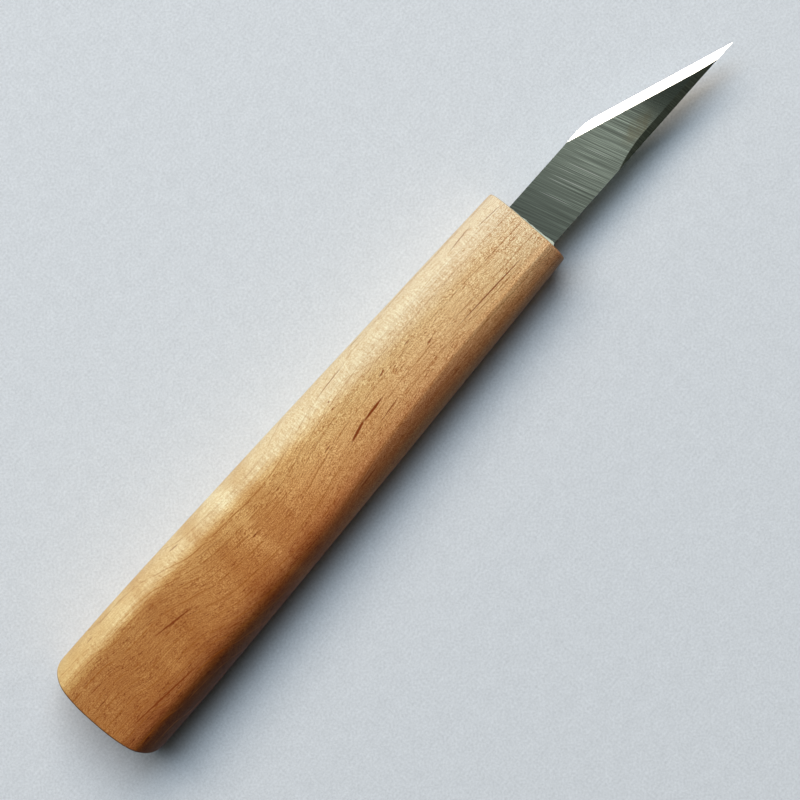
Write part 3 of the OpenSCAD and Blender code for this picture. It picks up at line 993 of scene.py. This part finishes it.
def bevel_cutter(flip):
    """What the wheel takes off one face along the cutting edge."""
    slope = (half_steel - EDGE_LAND / 2) / BEVEL_WIDTH
    far = BEVEL_WIDTH + OVER
    outline = [
        (-REACH, EDGE_LAND / 2), (0, EDGE_LAND / 2), (BEVEL_WIDTH, half_steel),
        (far, half_steel + OVER * slope), (-REACH, half_steel + OVER),
    ]
    # A profile across the edge, stood up so that its length runs along the edge
    stand = Matrix(((0, 0, 1, 0), (1, 0, 0, 0), (0, 1, 0, 0), (0, 0, 0, 1)))
    at_tip = Matrix.Translation((blade_length, -edge, 0)) @ Matrix.Rotation(math.pi - EDGE_ANGLE, 4, "Z")
    return prism("bevel_cutter", outline, -REACH, REACH, along_bar @ flip @ at_tip @ stand)


def relief_cutter(flip):
    """What the wheel takes off one face along the back, with its run-out."""
    tilt = math.atan(RELIEF_DEPTH / RELIEF_WIDTH)
    bite = RELIEF_WIDTH * math.sin(tilt)
    wheel = (RUN_OUT ** 2 + bite ** 2) / (2 * bite)
    start = blade_length - RELIEF_LENGTH + RUN_OUT
    far = math.asin((RUN_OUT + OVER) / wheel)
    outline = [(REACH, 0.0), (REACH, 2 * OVER), (start - wheel * math.sin(far), 2 * OVER)]
    for i in range(RUN_OUT_STEPS + 1):
        at = far * (1 - i / RUN_OUT_STEPS)
        outline.append((start - wheel * math.sin(at), wheel * (1 - math.cos(at))))
    at_back = Matrix.Translation((0, RELIEF_WIDTH - edge, half_steel))
    lean = Matrix.Rotation(tilt + math.pi / 2, 4, "X")
    return prism("relief_cutter", outline, -OVER, REACH, along_bar @ flip @ at_back @ lean)


for face in (1, -1):
    flip = Matrix.Scale(face, 4, (0, 0, 1))
    for cutter, finish in ((bevel_cutter(flip), honed_bevel), (relief_cutter(flip), wheel_relief)):
        cutter.data.materials.append(finish)
        boolean(blade, cutter)
smooth_sides(blade, 3)
print("blade:", len(blade.data.polygons), "faces,", [m.name for m in blade.data.materials])

# %% [markdown]
# When the tang was pushed into the slot, some glue came out and cured as a pale, uneven bead round
# the steel. The bead is a loft too: its profile, a hollow fillet between wood and steel, is carried
# round the outline of the bar. Its height grows from the cutting edge's side to the back and varies
# a little on the way. The rest of the glue is out of sight in the slot, so the profile only goes a
# short way in.

# %% Glue bead
BEAD_LOW, BEAD_HIGH = 0.55 * MM, 1.1 * MM
BEAD_UNEVEN = 0.35
BEAD_WAVE = 1.3 * MM
FACE_STEPS, CORNER_STEPS, FILLET_STEPS = 30, 4, 6
SUNK = 0.03 * MM
IN_SLOT = 0.5 * MM


def round_the_bar():
    """Places on the bar's outline (y, z) with the direction out of the steel."""
    path = []
    corners = ((edge, half_steel, 0.0), (-edge, half_steel, 90.0),
               (-edge, -half_steel, 180.0), (edge, -half_steel, 270.0))
    for n, (y, z, start) in enumerate(corners):
        for i in range(CORNER_STEPS + 1):
            at = math.radians(start + 90.0 * i / CORNER_STEPS)
            path.append((y, z, math.cos(at), math.sin(at)))
        next_y, next_z, _ = corners[(n + 1) % 4]
        steps = FACE_STEPS if n % 2 == 0 else CORNER_STEPS
        for i in range(1, steps):
            t = i / steps
            path.append((mix(y, next_y, t), mix(z, next_z, t), math.cos(at), math.sin(at)))
    return path


def bead_profile(height):
    """Points (out of the steel, out of the mouth) of the bead, and its foot in the slot."""
    foot = GLUE_GAP + SUNK
    profile = [(foot, -SUNK), (height, -SUNK)]
    for i in range(FILLET_STEPS + 1):
        at = math.pi / 2 * i / FILLET_STEPS
        t = i / FILLET_STEPS
        out = height * mix(1 - math.sin(at), 1 - t, 0.5)
        up = height * mix(1 - math.cos(at), t, 0.5)
        profile.append((out, up))
    return profile + [(-SUNK, height), (-SUNK, -IN_SLOT), (foot, -IN_SLOT)]


bm = bmesh.new()
rows = []
for y, z, out_y, out_z in round_the_bar():
    height = mix(BEAD_LOW, BEAD_HIGH, (edge - y) / BLADE_WIDTH)
    height *= 1 - BEAD_UNEVEN * (0.5 + 0.5 * noise.noise(Vector((y, z, 0)) / BEAD_WAVE))
    height = max(height, GLUE_GAP + 2 * SUNK)
    ring = [(up, y + out * out_y, z + out * out_z) for out, up in bead_profile(height)]
    rows.append([bm.verts.new(from_mouth @ Vector(point)) for point in ring])
join_rings(bm, rows + rows[:1])
bead = add_piece("glue_bead", bm)
smooth_sides(bead, 50)

glue, nodes, shader = new_material("cured_glue")
place = place_in_mm(nodes)
cloudy = nodes.noise(place, (1.6, 1.6, 1.6), 3.0, 0.6)
colour = nodes.ramp(cloudy, [(0.3, (0.50, 0.56, 0.45)), (0.7, (0.72, 0.77, 0.66))])
glue.node_tree.links.new(colour, shader.inputs["Base Color"])
bump = nodes.add("ShaderNodeBump", {"Height": cloudy, "Strength": 0.2, "Distance": 0.00005})
glue.node_tree.links.new(bump, shader.inputs["Normal"])
shader.inputs["Roughness"].default_value = 0.3
bead.data.materials.append(glue)
print("bead:", len(bead.data.polygons), "faces")

# %% [markdown]
# Last, each dressed piece is tied to the one rigid body of the knife, and the solid that it stands for is
# hidden. It must not be larger.

# %% Tie the pieces to the frame
PIECES = ((handle, "handle", "wood"), (blade, "blade", "steel"), (bead, "glue_bed", "glue"))

for piece, node, slot in PIECES:
    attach(piece, "root")
    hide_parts(node)
